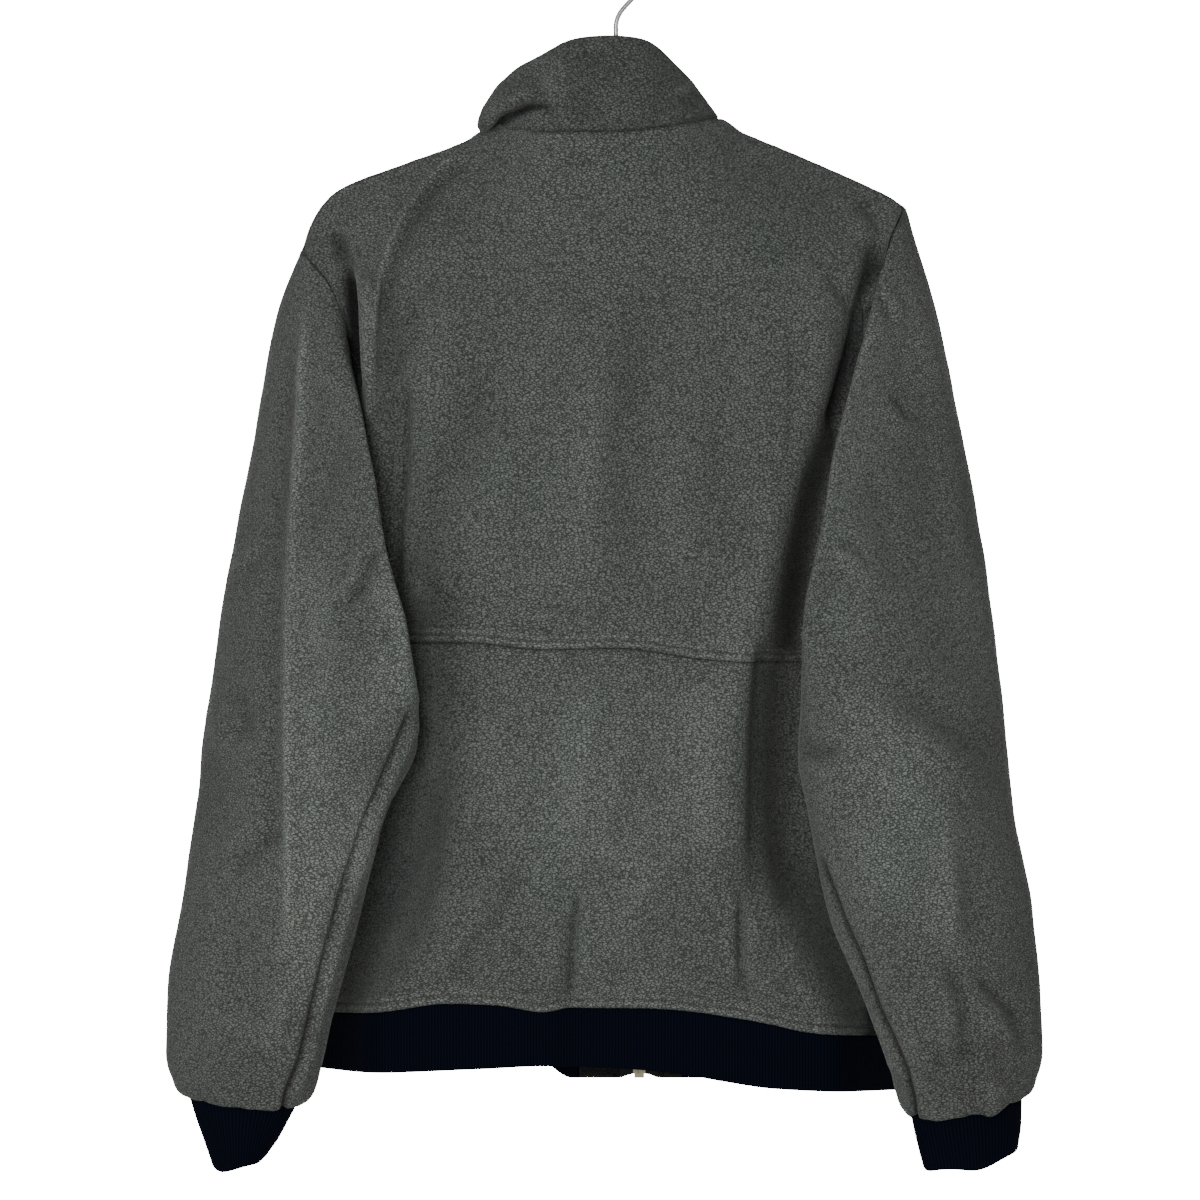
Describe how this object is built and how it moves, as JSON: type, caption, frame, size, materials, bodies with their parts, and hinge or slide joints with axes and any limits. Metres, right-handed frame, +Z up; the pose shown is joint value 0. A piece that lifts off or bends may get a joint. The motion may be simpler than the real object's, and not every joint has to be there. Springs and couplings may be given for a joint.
{
  "type": "warm-up jacket on a hanger",
  "caption": "Fleece warm-up jacket with stand collar, full front zip and rib-knit hem and cuffs, hanging flat on a contoured hanger with a wire hook.",
  "frame": {"origin": "inside top of the hanger's hook, where it bears on a rail", "axes": "+Z up, +Y the way a wearer would face (the jacket's front), +X to the wearer's right"},
  "size_m": [0.6254, 0.194, 0.8757],
  "materials": {
    "fleece": "grey short-nap micro-fleece, very rough",
    "rib": "navy-black rib knit, matte",
    "tape": "dark woven zip tape",
    "teeth": "dark moulded zip teeth, slightly glossy",
    "box": "cream moulded zip end box",
    "nickel": "nickel-plated zip slider and pull tab",
    "wood": "varnished hanger bar",
    "steel": "bright drawn wire"
  },
  "bodies": {
    "jacket": {"back_upper": "fleece", "back_lower": "fleece", "front_left": "fleece", "front_right": "fleece", "collar": "fleece", "sleeve_left": "fleece", "sleeve_right": "fleece", "cuff_left": "rib", "cuff_right": "rib", "hem_rib": "rib", "hem_tab_left": "fleece", "hem_tab_right": "fleece", "zip_tape_left": "tape", "zip_tape_right": "tape", "zip_teeth": "teeth", "zip_box": "box", "zip_slider": "nickel", "hanger_bar": "wood", "hanger_hook": "steel"},
    "pull_tab": {"zip_pull": "nickel"}
  },
  "joints": [
    {"name": "pull_swing", "type": "hinge", "parent": "jacket", "child": "pull_tab", "pos_m": [-0.004, 0.05928, -0.1436], "axis": [1, 0, 0], "range_deg": [0, 160]}
  ]
}
